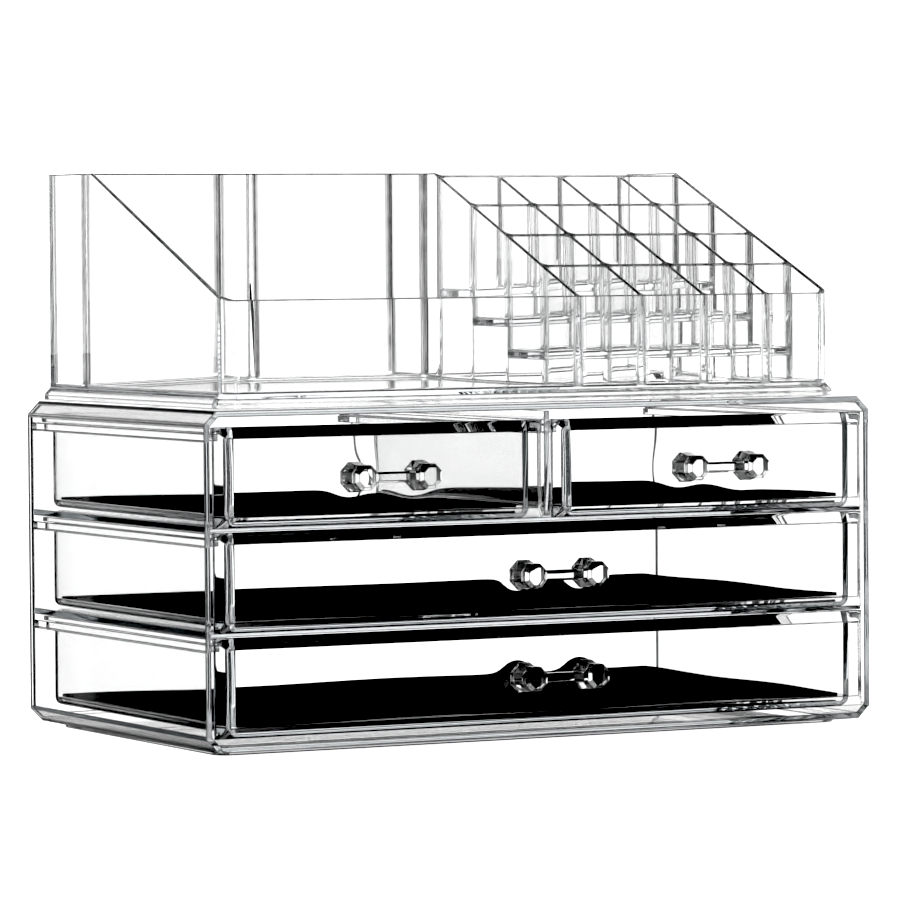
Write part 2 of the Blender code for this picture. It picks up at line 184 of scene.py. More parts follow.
def clear_acrylic(name, wave_length, wave_depth, painted_line_tone, line_roughness):
    """Clear plastic with its own ripple, its own edge roughness and its own painted edge shade."""
    material, tree, shader, place = new_material(name)
    mark = add(tree, "Attribute", attribute_name="edge").outputs["Fac"]
    line = placed(tree, painted_edge_shade, {"Place": place, "Edge": mark, "Line tone": grey(painted_line_tone),
                                    "Line roughness": line_roughness})
    wave = placed(tree, ripple, {"Place": place, "Wave length": wave_length, "Depth": wave_depth})
    bump = add(tree, "Bump", {"Height": wave["Height"], "Strength": 1.0, "Distance": 1.0})
    # The base colour carries the painted edge shade; the roughness of the edges is their own.
    fill(tree, shader, {"Base Color": line["Color"], "Roughness": line["Roughness"],
                        "Normal": bump.outputs[0], "IOR": acrylic_bend, "Transmission Weight": 1.0})
    depth = add(tree, "VolumeAbsorption", {"Color": depth_tint, "Density": depth_density})
    fill(tree, tree.nodes["Material Output"], {"Volume": depth.outputs[0]})
    return material


# After the name: wave length and depth of the ripple, tone of the painted edge shade and roughness of the
# edge lines.
sheet_acrylic = clear_acrylic("flame_polished_sheet", 40 * MM, 0.004 * MM, 0.08, 0.12)
moulded_acrylic = clear_acrylic("moulded_clear_acrylic", 18 * MM, 0.012 * MM, 0.01, 0.12)
faceted_acrylic = clear_acrylic("faceted_clear_acrylic", 25 * MM, 0.003 * MM, 0.02, 0.05)
print("acrylics:", sheet_acrylic.name, moulded_acrylic.name, faceted_acrylic.name)

# %% [markdown]
# ## Black felt
# The liners are thin pads of black felt. Felt is a mat of fibres that lie every way, so it swallows nearly
# all light and shows only a faint mottle and stray fibres. Hair particles would be far too heavy for
# something this dark, so two noises do it: a fine one for the fibres, which also feeds the bump, and a slow
# one for places that lie flatter.

# %% Felt
fibre_size, fibre_depth, nap_size = 0.35 * MM, 0.1 * MM, 14 * MM
felt, tree, shader, place = new_material("black_felt")
fibres = noise(tree, place, 1 / fibre_size, 3.0, 1.5)
nap = noise(tree, place, 1 / nap_size, 2.0)
mottle = sum_up(tree, "MULTIPLY", fibres, nap)
deep_black, soft_black = (0.002, 0.002, 0.003, 1), (0.012, 0.012, 0.013, 1)
worn = scaled(tree, nap, 0.0, 1.0, 0.82, 1.0)
bump = add(tree, "Bump", {"Height": fibres, "Strength": 0.6, "Distance": fibre_depth})
fill(tree, shader, {"Base Color": mixed(tree, mottle, deep_black, soft_black), "Roughness": worn,
                    "Normal": bump.outputs[0], "Specular IOR Level": 0.0})
print("felt:", len(tree.nodes), "nodes")

# %% [markdown]
# ## Outlines
# Every acrylic piece is an outline with thickness. An outline is a short list of corners, and one function
# rounds all corners at once, so the same few lines serve a drawer, a rib and a tray pocket.

# %% Corners
def unit(vectors):
    """Vectors divided by their own length."""
    return vectors / np.linalg.norm(vectors, axis=-1, keepdims=True)


def offset_corners(corners, distances):
    """Corners after each side has moved inwards by its distance. Side i runs from corner i to corner i + 1.
    A corner's shift s solves s . n = d for the normals n of its two sides."""
    corners = np.asarray(corners, float)
    after = np.broadcast_to(distances, len(corners)).astype(float)
    before = np.roll(after, 1)
    side = unit(np.roll(corners, -1, 0) - corners)
    inward = np.stack([-side[:, 1], side[:, 0]], -1)
    previous = np.roll(inward, 1, 0)
    cross = previous[:, 0] * inward[:, 1] - previous[:, 1] * inward[:, 0]
    shift_u = (before * inward[:, 1] - after * previous[:, 1]) / cross
    shift_v = (after * previous[:, 0] - before * inward[:, 0]) / cross
    return corners + np.stack([shift_u, shift_v], -1)


def rounded(corners, radii, steps=4):
    """Outline with an arc in each corner: its centre lies on the bisector, radius / sin(half angle) from the
    corner, and its points turn evenly from the foot on one side to the foot on the next."""
    corners = np.asarray(corners, float)
    radii = np.broadcast_to(radii, len(corners)).astype(float)
    before = unit(np.roll(corners, 1, 0) - corners)
    after = unit(np.roll(corners, -1, 0) - corners)
    half = np.arccos(np.clip((before * after).sum(-1), -1, 1)) / 2
    centre = corners + unit(before + after) * (radii / np.sin(half))[:, None]
    start = corners + before * (radii / np.tan(half))[:, None] - centre
    end = corners + after * (radii / np.tan(half))[:, None] - centre
    turn = np.arctan2(start[:, 0] * end[:, 1] - start[:, 1] * end[:, 0], (start * end).sum(-1))
    angle = np.arctan2(start[:, 1], start[:, 0])[:, None] + turn[:, None] * np.linspace(0, 1, steps + 1)
    arc = radii[:, None, None] * np.stack([np.cos(angle), np.sin(angle)], -1)
    return (centre[:, None] + arc).reshape(-1, 2)


print("a rounded square has", len(rounded([(0, 0), (1, 0), (1, 1), (0, 1)], 0.1)), "points")

# %% Outlines that shrink
def bends(corners):
    """+1 for a corner that points out, -1 for one that points in, on an anticlockwise outline."""
    corners = np.asarray(corners, float)
    before = corners - np.roll(corners, 1, 0)
    after = np.roll(corners, -1, 0) - corners
    return np.sign(before[:, 0] * after[:, 1] - before[:, 1] * after[:, 0])


def outline_at(corners, radii, distances, steps=4):
    """The rounded outline after its sides move inwards: outer arcs shrink and inner arcs grow by as much."""
    moved = offset_corners(corners, distances)
    near = np.broadcast_to(distances, len(moved)).astype(float)
    radii = np.broadcast_to(radii, len(moved)) - bends(corners) * np.maximum(near, np.roll(near, 1))
    return rounded(moved, np.maximum(radii, 0), steps)


def rectangle(low_u, high_u, low_v, high_v):
    """The four corners of a rectangle, anticlockwise."""
    return [(low_u, low_v), (high_u, low_v), (high_u, high_v), (low_u, high_v)]


def octagon(low_u, high_u, low_v, high_v, cut):
    """A rectangle with its four corners cut at 45 degrees, anticlockwise."""
    return [(low_u + cut, low_v), (high_u - cut, low_v), (high_u, low_v + cut), (high_u, high_v - cut),
            (high_u - cut, high_v), (low_u + cut, high_v), (low_u, high_v - cut), (low_u, low_v + cut)]


print("corners of a cut square:", octagon(0, 4, 0, 4, 1))

# %% [markdown]
# ## Solids
# A solid is a stack of outlines: rows of points joined by quads, with a face over the first and the last
# row. For a sleeve the last row is joined to the first instead, which gives an outer and an inner wall in
# one go.

# %% Rows of points
AXES = {"x": (2, 0, 1), "y": (0, 2, 1), "z": (0, 1, 2)}


def stack_rows(outlines, heights, axis="z"):
    """Rows x points x 3: outline i lies at heights[i] along the axis.
    For axis x an outline is (y, z), for y it is (x, z)."""
    outlines = np.asarray(outlines)
    level = np.broadcast_to(np.asarray(heights, float)[:, None, None], outlines.shape[:2] + (1,))
    return np.concatenate([outlines, level], -1)[..., AXES[axis]]


def grid_faces(rows, points, sleeve=False):
    """Quads between neighbouring rows, closed round each row, and from last row to first for a sleeve."""
    row = np.arange(rows if sleeve else rows - 1)[:, None]
    point = np.arange(points)[None]
    upper, beside = (row + 1) % rows, (point + 1) % points
    quads = [row * points + point, row * points + beside, upper * points + beside, upper * points + point]
    return np.stack(quads, -1).reshape(-1, 4).tolist()


print("three rows of four points give", len(grid_faces(3, 4)), "quads")

# %% Mesh objects
same_place = 0.002 * MM


def mesh_object(name, points, faces):
    """A mesh object whose coinciding points are merged and whose faces are turned outwards."""
    mesh = bpy.data.meshes.new(name)
    mesh.from_pydata(np.reshape(points, (-1, 3)).tolist(), [], faces)
    work = bmesh.new()
    work.from_mesh(mesh)
    bmesh.ops.remove_doubles(work, verts=work.verts, dist=same_place)
    bmesh.ops.recalc_face_normals(work, faces=work.faces)
    work.to_mesh(mesh)
    work.free()
    item = bpy.data.objects.new(name, mesh)
    bpy.context.collection.objects.link(item)
    return item


def solid(name, grid, sleeve=False):
    """A closed solid from rows of points."""
    rows, points = grid.shape[:2]
    ends = [] if sleeve else [list(range(points)), list(range((rows - 1) * points, rows * points))]
    return mesh_object(name, grid, grid_faces(rows, points, sleeve) + ends)


def prism(name, corners, radii, low, high, axis, steps=2):
    """A rounded outline carried straight along an axis."""
    outline = rounded(corners, radii, steps)
    return solid(name, stack_rows([outline, outline], [low, high], axis))


print("points closer than", round(same_place / MM, 4), "mm are merged")

# %% [markdown]
# ## Joining, cutting and polishing
# A moulding is one lump of plastic, so its ribs are joined to it and its pockets are cut out of it with
# exact Booleans. Two overlapping meshes would look the same in wood, but in clear plastic each hidden wall
# would show. After that every edge is rolled over by a few tenths of a millimetre, as flame polishing and a
# mould's own radii do, and the rolls are marked for the shade painted along the edges.

# %% Booleans
def applied(item):
    """Replaces a piece's mesh by the result of its modifiers."""
    bpy.context.view_layer.update()
    item.data = bpy.data.meshes.new_from_object(item.evaluated_get(bpy.context.evaluated_depsgraph_get()))
    item.modifiers.clear()
    return item


def combined(item, tools, operation):
    """Joins or cuts with exact Booleans, one tool after another, and removes the tools."""
    for tool in tools:
        change = item.modifiers.new("change", "BOOLEAN")
        change.operation, change.solver, change.object = operation, "EXACT", tool
    applied(item)
    for tool in tools:
        bpy.data.objects.remove(tool, do_unlink=True)
    return item


# %% Marks for the painted edge shade
front_and_rear = [(0, -1, 0), (0, 1, 0)]
ends = [(1, 0, 0), (-1, 0, 0)] + front_and_rear


def mark_painted_shade(item, marks):
    """Writes one number for each face into the attribute that sets how much shade is painted on it."""
    mesh = item.data
    edge = mesh.attributes.get("edge") or mesh.attributes.new("edge", "FLOAT", "FACE")
    edge.data.foreach_set("value", np.asarray(marks, np.float32))
    return item


def read_faces(faces, name, width=1, kind=np.float32):
    """One property of all faces, points or marks as an array."""
    values = np.empty(len(faces) * width, kind)
    faces.foreach_get(name, values)
    return values.reshape(len(faces), width) if width > 1 else values


def mark_sawn_for_shade(item, directions, tone):
    """Marks the flat faces that look along one of the directions, as the ends of a sawn sheet, for painted
    shade.
    """
    normals = read_faces(item.data.polygons, "normal", 3)
    facing = (normals @ np.array(directions, float).T > 0.99).any(1)
    marks = read_faces(item.data.attributes["edge"].data, "value")
    return mark_painted_shade(item, np.maximum(marks, tone * facing))


print("sawn ends look", len(ends), "ways")

# %% Polish
sliver, flat_angle = 0.03 * MM, math.radians(0.6)


def even_shading(item):
    """Smooth shading whose normals follow the large faces, so that flats stay flat beside a rolled edge."""
    item.data.shade_smooth()
    shine = item.modifiers.new("shine", "WEIGHTED_NORMAL")
    shine.mode, shine.weight = "FACE_AREA", 60
    return applied(item)


def polished(item, radius, segments=2, sharpest=32):
    """Merges flat neighbours, rolls over each edge sharper than the given angle, and marks the rolls for
    painted shade.
    """
    work = bmesh.new()
    work.from_mesh(item.data)
    bmesh.ops.remove_doubles(work, verts=work.verts, dist=sliver)
    bmesh.ops.dissolve_limit(work, angle_limit=flat_angle, verts=work.verts, edges=work.edges)
    bmesh.ops.triangulate(work, faces=[face for face in work.faces if len(face.verts) > 4])
    work.to_mesh(item.data)
    work.free()
    item.data.materials.clear()
    for _ in ("clear face", "rolled edge"):
        item.data.materials.append(None)
    item.data.shade_smooth()
    ease = item.modifiers.new("ease", "BEVEL")
    ease.width, ease.segments, ease.material = radius, segments, 1
    ease.limit_method, ease.angle_limit = "ANGLE", math.radians(sharpest)
    ease.use_clamp_overlap = False
    even_shading(item)
    faces = item.data.polygons
    rolled = read_faces(faces, "material_index", kind=np.int32) == 1
    faces.foreach_set("material_index", np.zeros(len(faces), np.int32))
    # The rolled faces get painted edge shade.
    return mark_painted_shade(item, rolled)


print("faces within", round(math.degrees(flat_angle), 1), "degrees become one")

# %% Dress a piece
def dressed(item, body, slot, material, *solids):
    """Gives a piece its material, its moving body and the solids it stands for. Its slot is not used."""
    item.data.materials.clear()
    item.data.materials.append(material)
    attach(item, body)
    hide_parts(*solids)
    work = bmesh.new()
    work.from_mesh(item.data)
    open_edges = sum(not edge.is_manifold for edge in work.edges)
    print(f"{item.name}: {len(work.faces)} faces, {work.calc_volume() * 1e6:.2f} ml, {open_edges} open edges")
    work.free()
    return item


def corners_of(node):
    """Lowest and highest corner of a solid as arrays."""
    low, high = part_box(node)
    return np.array(low, float), np.array(high, float)


print("the casing goes from", *corners_of("casing"))

# %% [markdown]
# ## The cabinet shell
# The shell is one sleeve: four walls with cut corners. Ribs on its side walls carry the drawers' flanges,
# and a low ring under its bottom is the foot. It could be four plates set against each other, but glue
# lines would show at the corners, and the real shell is bent and moulded in one.

# %% Cabinet sleeve
case_low, case_high = corners_of("casing")
front_y, rear_y = case_low[1], case_high[1]
foot_height, case_wall, case_chamfer, case_corner = 1.5 * MM, 2.0 * MM, 4.2 * MM, 0.6 * MM
section = octagon(case_low[0], case_high[0], case_low[2] + foot_height, case_high[2], case_chamfer)
outer, inner = outline_at(section, case_corner, 0), outline_at(section, case_corner, case_wall)
sleeve_rows = stack_rows([outer, outer, inner, inner], [front_y, rear_y, rear_y, front_y], "y")
sleeve = solid("cabinet_shell", sleeve_rows, sleeve=True)
print("sleeve:", len(sleeve.data.polygons), "faces")

# %% Ribs that carry the drawers
DRAWERS = ("small_left", "small_right", "middle", "lower")
flange_thick, flange_play = 1.5 * MM, 0.3 * MM
rib_thick, rib_reach, rib_start, rib_end_gap = 2.2 * MM, 4.7 * MM, 0.3 * MM, 2.2 * MM
rib_front = corners_of("lower_box")[0][1] + rib_start
sharp = 0.0


def rib_span(drawer):
    """Lowest and highest z of the rib under a drawer's flanges."""
    top = corners_of(drawer + "_box")[1][2] - flange_thick - flange_play
    return top - rib_thick, top


rib_out = case_high[0] - case_wall / 2
rib_in = case_high[0] - case_wall - rib_reach
ribs = [prism("rib", rectangle(low_x, high_x, *rib_span(drawer)), sharp, rib_front, rear_y - rib_end_gap, "y")
        for drawer in ("small_left", "middle", "lower")
        for low_x, high_x in ((-rib_out, -rib_in), (rib_in, rib_out))]
print(len(ribs), "ribs")

# %% Foot ring and finished shell
foot_inset, foot_corner, foot_wide, foot_overlap = 7.5 * MM, 5.0 * MM, 3.0 * MM, 0.8 * MM
shell_ease, painted_sawn_shade, painted_chamfer_shade, diagonal = 0.3 * MM, 0.45, 0.6, math.sqrt(0.5)
foot_plan = rectangle(case_low[0] + foot_inset, case_high[0] - foot_inset,
                      front_y + foot_inset, rear_y - foot_inset)
foot_outside, foot_inside = (outline_at(foot_plan, foot_corner, inset, steps=8) for inset in (0, foot_wide))
foot_top = foot_height + foot_overlap
foot_rows = stack_rows([foot_outside, foot_outside, foot_inside, foot_inside], [0, foot_top, foot_top, 0])
foot = solid("foot", foot_rows, sleeve=True)
shell = polished(combined(sleeve, ribs + [foot], "UNION"), shell_ease)
# Painted shade on the shell's sawn front and rear ends, and more of it on the two top chamfers.
mark_sawn_for_shade(shell, front_and_rear, painted_sawn_shade)
mark_sawn_for_shade(shell, [(-diagonal, 0, diagonal), (diagonal, 0, diagonal)], painted_chamfer_shade)
dressed(shell, "cabinet", "clear_acrylic", sheet_acrylic, "casing")

# %% [markdown]
# ## Back, shelves and divider
# These are cut from sheet: plain plates whose sawn ends were polished. The divider between the two small
# drawers carries a flange rib on both sides, so it is a plate with a second, lying plate joined across it.

# %% Plates
back_cut, plate_ease = 2.85 * MM, 0.25 * MM
for node in ("back_panel", "upper_shelf", "lower_shelf"):
    low, high = corners_of(node)
    cut_corners = octagon(low[0], high[0], low[2], high[2], back_cut)
    outline = cut_corners if node == "back_panel" else rectangle(low[0], high[0], low[2], high[2])
    plate = polished(prism("cabinet_" + node, outline, sharp, low[1], high[1], "y"), plate_ease)
    # Painted shade on the shelves' sawn ends.
    if node != "back_panel":
        mark_sawn_for_shade(plate, ends, painted_sawn_shade)
    dressed(plate, "cabinet", "clear_acrylic", sheet_acrylic, node)

# %% Divider
low, high = corners_of("centre_divider")
half_sheet = 1.0 * MM
upright_plan = rectangle(-half_sheet, half_sheet, low[2], high[2])
upright = prism("cabinet_divider", upright_plan, sharp, low[1], high[1], "y")
carrier_plan = rectangle(low[0], high[0], *rib_span("small_left"))
carrier = prism("carrier", carrier_plan, sharp, rib_front, high[1], "y")
divider = polished(combined(upright, [carrier], "UNION"), plate_ease)
# Painted shade on the divider's sawn front and rear ends.
mark_sawn_for_shade(divider, front_and_rear, painted_sawn_shade)
dressed(divider, "cabinet", "clear_acrylic", sheet_acrylic, "centre_divider")

# %% [markdown]
# ## Drawer boxes
# A drawer box is moulded: its floor runs into the side walls and the rear in a soft curve, and two flat
# flanges along its top edges hang on the cabinet's ribs. It is a block with a rounded lower edge, flanges
# joined to it, less a pocket that stays open at the front, where the bevelled front closes it. Solidify on
# an open shell would be quicker, but it gives one wall thickness everywhere, while a mould's inner and
# outer radii differ.

# %% Lower edge of a moulding
curve_rows = 7


def curved_stack(name, corners, radii, low, high, curve, turned=(0.0, 1.0, 1.0, 1.0)):
    """A block whose lower edge is a quarter circle: at angle a the outline lies curve * (1 - sin a) inside
    and curve * (1 - cos a) up. Only the sides given as turned move; the front stays upright."""
    angle = np.linspace(0, np.pi / 2, curve_rows)
    insets = curve * (1 - np.sin(angle))
    rows = [outline_at(corners, radii, inset * np.array(turned)) for inset in insets]
    return solid(name, stack_rows(rows + rows[-1:], np.append(low + curve * (1 - np.cos(angle)), high)))


print("a moulded edge has", curve_rows, "rows")

# %% Boxes
box_wall, flange_reach, flange_setback, flange_corner = 2.0 * MM, 4.9 * MM, 3.1 * MM, 2.0 * MM
outer_corner, outer_curve, inner_corner, inner_curve = 3.0 * MM, 2.5 * MM, 1.2 * MM, 0.9 * MM
flange_start, past_front, above = 0.3 * MM, 6.0 * MM, 1.0 * MM


def drawer_box(drawer):
    """A block with rounded lower and rear edges, joined to its flanges, less its pocket."""
    low, high = corners_of(drawer + "_box")
    left, right = low[0] + flange_reach, high[0] - flange_reach
    body = curved_stack(drawer + "_drawer", rectangle(left, right, low[1], high[1]),
                        [sharp, sharp, outer_corner, outer_corner], low[2], high[2], outer_curve)
    flange_plan = rectangle(low[0], high[0], low[1] + flange_start, high[1] - flange_setback)
    flanges = prism("flanges", flange_plan, [sharp, sharp, flange_corner, flange_corner],
                    high[2] - flange_thick, high[2], "z", steps=6)
    pocket_plan = rectangle(left + box_wall, right - box_wall, low[1] - past_front, high[1] - box_wall)
    pocket = curved_stack("pocket", pocket_plan, [sharp, sharp, inner_corner, inner_corner],
                          low[2] + box_wall, high[2] + above, inner_curve)
    box = combined(combined(body, [flanges], "UNION"), [pocket], "DIFFERENCE")
    box = polished(box, plate_ease)
    return dressed(box, drawer + "_drawer", "clear_acrylic", moulded_acrylic, drawer + "_box")


for drawer in DRAWERS:
    drawer_box(drawer)

# %% [markdown]
# ## Bevelled fronts
# Each front is a thick slab with a wide bevel round its face. The bevel acts as a prism: it shows what lies
# far above or below, which is why the fronts look framed in black and white. Behind each handle post the
# slab has a slight swell from the moulding, which gathers light into a small pale spot. The back is
# therefore a grid, and the sides and bevels are rings that shrink towards the face; a Bevel modifier on a
# box could not carry the swell.

# %% Back of a front
front_bevel, front_ease, swell_spread = 3.4 * MM, 0.25 * MM, 6.0 * MM
post_centre, grid_step, grid_rows = 4.3 * MM, 1.5 * MM, 22
SWELL = {"small_left": 0.3 * MM, "small_right": 0.3 * MM, "middle": 0.45 * MM, "lower": 0.45 * MM}


def front_back(drawer):
    """The grid of the slab's back: y = back + height * sum of exp(-(r / spread) ** 2) over both posts.
    Returns the points, their numbers, and u and v, which run from -1 to 1 across the slab."""
    low, high = corners_of(drawer + "_front")
    grip_low, grip_high = corners_of(drawer + "_handle")
    centre, half = (low + high) / 2, (high - low) / 2 - front_ease
    count = (int(half[0] * 2 / grid_step), grid_rows)
    u, v = np.meshgrid(np.linspace(-1, 1, count[0]), np.linspace(-1, 1, count[1]), indexing="ij")
    x, z = centre[0] + u * half[0], centre[2] + v * half[2]
    post_z = (grip_low[2] + grip_high[2]) / 2
    posts = (grip_low[0] + post_centre, grip_high[0] - post_centre)
    swell = sum(np.exp(-((x - post) ** 2 + (z - post_z) ** 2) / swell_spread ** 2) for post in posts)
    return np.stack([x, high[1] + SWELL[drawer] * swell, z], -1), np.arange(u.size).reshape(count), u, v


print("swells in metres:", SWELL)

# %% Fronts
def drawer_front(drawer):
    """Joins the back's grid to rings that shrink towards the face, and marks the narrow rings for painted
    shade.
    """
    low, high = corners_of(drawer + "_front")
    centre, half = (low + high) / 2, (high - low) / 2
    back, number, u, v = front_back(drawer)
    rim = np.concatenate([number[:-1, 0], number[-1, :-1], number[:0:-1, -1], number[0, :0:-1]])
    around = np.stack([u.ravel()[rim], v.ravel()[rim]], -1)
    tip = front_ease * math.sqrt(0.5)
    turn = low[1] + front_bevel
    profile = [(0.0, high[1] - front_ease), (0.0, turn + front_ease), (tip, turn - tip),
               (front_bevel - tip, low[1] + tip), (front_bevel + front_ease, low[1])]
    rings = [np.column_stack([centre[0] + around[:, 0] * (half[0] - inset), np.full(len(rim), y),
                              centre[2] + around[:, 1] * (half[2] - inset)]) for inset, y in profile]
    base, count = number.size, len(rim)
    step = np.roll(np.arange(count), -1)
    cells = np.stack([number[:-1, :-1], number[1:, :-1], number[1:, 1:], number[:-1, 1:]], -1).reshape(-1, 4)
    collar = np.stack([rim, rim[step], base + step, base + np.arange(count)], -1)
    sides = np.array(grid_faces(len(profile), count)) + base
    face = list(range(base + (len(profile) - 1) * count, base + len(profile) * count))
    points = np.concatenate([back.reshape(-1, 3), *rings])
    faces = [*cells.tolist(), *collar.tolist(), *sides.tolist(), face]
    panel = mesh_object(drawer + "_bevelled_front", points, faces)
    # Painted shade on the narrow eased rings, none on the flat side, the bevel, the back or the face.
    rolled = np.array([1.0, 0.0, 1.0, 0.0, 1.0])
    marks = np.concatenate([np.zeros(len(cells)), np.repeat(rolled, count), [0.0]])
    mark_painted_shade(even_shading(panel), marks)
    return dressed(panel, drawer + "_drawer", "clear_acrylic", faceted_acrylic, drawer + "_front")


for drawer in DRAWERS:
    drawer_front(drawer)

# %% [markdown]
# ## Handles
# Each handle is a bar with cut corners between two eight-sided posts. A post is widest where it is glued to
# the front and narrows towards its bevelled end. Facets are what makes it sparkle, so every one is a true
# flat, and only the finest rounding is added between them. A turned shape would lose exactly that.

# %% Handle posts
post_flats, post_bevel = 7.8 * MM, 1.1 * MM
foot_flats, foot_rim, foot_end = 9.4 * MM, 0.8 * MM, 4.4 * MM


def octagon_ring(centre_u, centre_v, across):
    """A regular octagon with one side level: corners at radius across / 2 / cos(22.5 degrees)."""
    angle = (np.arange(8) + 0.5) * np.pi / 4
    radius = across / 2 / np.cos(np.pi / 8)
    return np.stack([centre_u + radius * np.cos(angle), centre_v + radius * np.sin(angle)], -1)


def handle_post(x, z, front, back):
    """An eight-sided post with a wide foot and a bevelled end."""
    widths = [foot_flats, foot_flats, post_flats, post_flats, post_flats - 2 * post_bevel]
    heights = [back, back - foot_rim, back - foot_end, front + post_bevel, front]
    return solid("post", stack_rows([octagon_ring(x, z, across) for across in widths], heights, "y"))


print("a post is", round(post_flats / MM, 1), "mm across its flats")

# %% Handles
bar_wide, bar_cut, bar_setback, grip_ease, grip_sharpest = 3.4 * MM, 0.6 * MM, 1.0 * MM, 0.12 * MM, 15


def drawer_handle(drawer):
    """Two posts and a bar, joined into one solid."""
    low, high = corners_of(drawer + "_handle")
    middle = (low[2] + high[2]) / 2
    posts = (low[0] + post_centre, high[0] - post_centre)
    bar_front = low[1] + bar_setback
    section = octagon(bar_front, bar_front + bar_wide, middle - bar_wide / 2, middle + bar_wide / 2, bar_cut)
    bar = prism("bar", section, sharp, posts[0] + post_flats / 4, posts[1] - post_flats / 4, "x", steps=1)
    grip, other = (handle_post(post, middle, low[1], high[1]) for post in posts)
    grip.name = drawer + "_grip"
    grip = polished(combined(grip, [other, bar], "UNION"), grip_ease, sharpest=grip_sharpest)
    return dressed(grip, drawer + "_drawer", "clear_acrylic", faceted_acrylic, drawer + "_handle")


for drawer in DRAWERS:
    drawer_handle(drawer)

# %% [markdown]
# ## Felt liners
# The liners are pads cut by hand and laid in loose. Their rims wander by a few tenths of a millimetre, and
# they lie a touch off the floor here and there. A cloth simulation would find nothing to do on a stiff pad
# that lies flat, so its form is worked out.

# %% Liner form
felt_corner, felt_trim, rim_step, rim_wave, fluff_size = 1.5 * MM, 0.8 * MM, 0.9 * MM, 1.3 * MM, 0.08 * MM


def liner_rim(low, high, rng):
    """Points every 0.9 mm round the pad, and how far each is cut back by waves, each 1 / count high."""
    plan = rounded(rectangle(low[0], high[0], low[1], high[1]), felt_corner, steps=8)
    travel = np.append(0, np.cumsum(np.linalg.norm(np.roll(plan, -1, 0) - plan, axis=1)))
    at = np.linspace(0, travel[-1], int(travel[-1] / rim_step), endpoint=False)
    closed = np.concatenate([plan, plan[:1]])
    rim = np.column_stack([np.interp(at, travel, closed[:, axis]) for axis in (0, 1)])
    counts = np.array([9, 17, 31, 53, 97, 151])
    phases = rng.uniform(0, 2 * np.pi, len(counts))
    waves = np.sin(at[:, None] / travel[-1] * 2 * np.pi * counts + phases) / counts
    fluff = rng.normal(0, fluff_size, len(at))
    return rim, -np.clip(np.abs(waves.sum(1) * rim_wave + fluff), 0, felt_trim)


print("a liner's rim is trimmed by up to", felt_trim / MM, "mm")

# %% Liners
felt_wave, felt_rest, felt_pile, wave_x, wave_y = 0.3 * MM, 0.25 * MM, 0.5 * MM, 17 * MM, 13 * MM
SHARES = np.array([0.3, 0.55, 0.75, 0.87, 0.94, 0.98, 1.0])[:, None, None]


def drawer_liner(drawer):
    """A loose pad: rings go from near the centre out to the rim on top and back underneath, and both faces
    ride on one slow wave, depth * (sin(x / 17 mm) * sin(y / 13 mm) + 1), that grows towards the rim."""
    low, high = corners_of(drawer + "_liner")
    rng = np.random.default_rng(sum(map(ord, drawer)))
    rim, trim = liner_rim(low, high, rng)
    centre, half = (low[:2] + high[:2]) / 2, (high[:2] - low[:2]) / 2
    outward = unit((rim - centre) / half)
    rings = centre + SHARES * (rim - centre + outward * trim[:, None])
    phase = rng.uniform(0, 2 * np.pi, 2)
    lift = np.sin(rings[..., 0] / wave_x + phase[0]) * np.sin(rings[..., 1] / wave_y + phase[1]) + 1
    lift = felt_wave * lift * SHARES[..., 0] ** 3
    upper = np.concatenate([rings, (high[2] - felt_pile + lift)[..., None]], -1)
    lower = np.concatenate([rings, (low[2] - felt_rest + lift)[..., None]], -1)[::-1]
    pad = solid(drawer + "_felt", np.concatenate([upper, lower]))
    pad.data.shade_smooth()
    dressed(pad, drawer + "_drawer", "black_liner", felt, drawer + "_liner")
    return pad


for drawer in DRAWERS:
    drawer_liner(drawer)

# %% [markdown]
# ## The moulded tray
# The tray is one moulding: a flared skirt, outer walls whose front part slopes down, a row of open bins
# behind, and a rack of sixteen small pockets whose floors rise in four steps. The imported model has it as
# plates; here they melt into one solid. The whole is carved like the steel of its mould: a block with the
# outer form, less a slanted knife above, less one drafted pocket for each space, less the hollow
# underneath. Draft is the slight lean that lets a moulding leave its mould, and it is what makes the
# pockets' walls show as doubled lines.

# %% Tray block
tray_low, tray_high = corners_of("organizer_tray")
skirt_flare, tray_wall, tray_cut = 2.1 * MM, 1.9 * MM, 4.4 * MM
tray_left, tray_right = tray_low[0] + skirt_flare, tray_high[0] - skirt_flare
tray_front, tray_rear = tray_low[1] + skirt_flare, tray_high[1]
tray_base, tray_top = tray_low[2], tray_high[2]
tray_plan = [(tray_left + tray_cut, tray_front), (tray_right - tray_cut, tray_front),
             (tray_right, tray_front + tray_cut), (tray_right, tray_rear), (tray_left, tray_rear),
             (tray_left, tray_front + tray_cut)]
cut_radius, rear_radius = 1.2 * MM, 0.8 * MM
tray_radii = [cut_radius, cut_radius, cut_radius, rear_radius, rear_radius, cut_radius]


def tray_outline(out, out_rear=0.0):
    """The tray's plan with its front and sides moved out, and its rear moved out by its own distance."""
    return outline_at(tray_plan, tray_radii, -np.array([out, out, out, out_rear, out, out]), steps=6)


rim_top, flare_top, soft, softer = tray_base + 1.9 * MM, tray_base + 4.0 * MM, 0.2 * MM, 0.3 * MM
levels = [(skirt_flare, tray_base), (skirt_flare, rim_top - softer), (skirt_flare - soft, rim_top + soft),
          (soft, flare_top - soft), (0, flare_top + softer), (-soft, tray_top)]
tray_rows = stack_rows([tray_outline(out) for out, _ in levels], [level for _, level in levels])
tray = solid("moulded_tray", tray_rows)
print("tray walls from x", round(tray_left, 4), "to", round(tray_right, 4))

